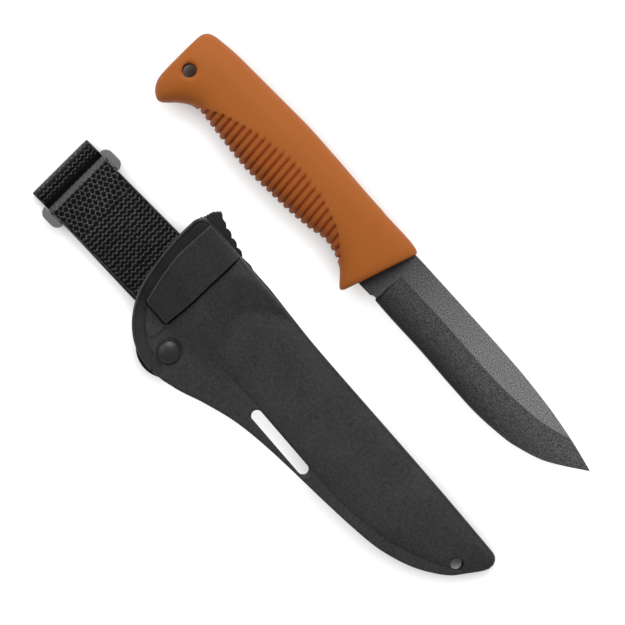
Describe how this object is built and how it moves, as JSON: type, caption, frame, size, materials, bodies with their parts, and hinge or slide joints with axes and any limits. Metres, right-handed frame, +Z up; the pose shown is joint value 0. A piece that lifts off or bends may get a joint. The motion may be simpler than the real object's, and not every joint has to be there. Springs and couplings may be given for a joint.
{
  "type": "rigging knife",
  "caption": "Fixed-blade rigging knife with a ribbed moulded grip, lying beside its moulded belt sheath with a webbing loop.",
  "frame": {"origin": "middle of the object's footprint, on the table that it lies on", "axes": "+X towards the blade's and the sheath's tips, +Y from the sheath to the knife, +Z up"},
  "size_m": [0.2256, 0.1082, 0.0372],
  "materials": {
    "coated_steel": "speckled powder coat",
    "grip_rubber": "satin moulded",
    "sheath_plastic": "fine spark-eroded grain",
    "tongue_plastic": "fine grain",
    "rivet_black": "satin black",
    "rivet_steel": "plated",
    "hanger_plastic": "moulded",
    "webbing": "zigzag weave",
    "slider_plastic": "moulded"
  },
  "bodies": {
    "sheath": {"front_shell": "sheath_plastic", "rear_shell": "sheath_plastic", "rivet_cap": "rivet_black", "rivet_post": "rivet_steel", "rivet_washer": "rivet_steel"},
    "tongue": {"retention_tongue": "tongue_plastic"},
    "hanger": {"hanger_plate": "hanger_plastic", "belt_loop": "webbing"},
    "slider": {"slider": "slider_plastic"},
    "knife": {"blade": "coated_steel", "grip": "grip_rubber"}
  },
  "joints": [
    {"name": "knife_lift", "type": "slide", "parent": "sheath", "child": "knife", "axis": [0, 0, 1], "range_m": [0, 0.12]},
    {"name": "tongue_flex", "type": "hinge", "parent": "sheath", "child": "tongue", "pos_m": [-0.04684, -0.03635, 0.02579], "axis": [0.9933, 0, -0.1154], "range_deg": [0, 5], "stiffness_Nm_per_rad": 0.8},
    {"name": "hanger_swivel", "type": "hinge", "parent": "sheath", "child": "hanger", "pos_m": [-0.0293, -0.04245, 0.01973], "axis": [0.1154, 0, 0.9933], "range_deg": [-12, 10]},
    {"name": "slider_travel", "type": "slide", "parent": "hanger", "child": "slider", "axis": [0.9974, 0.0724, 0], "range_m": [0, 0.018]}
  ]
}
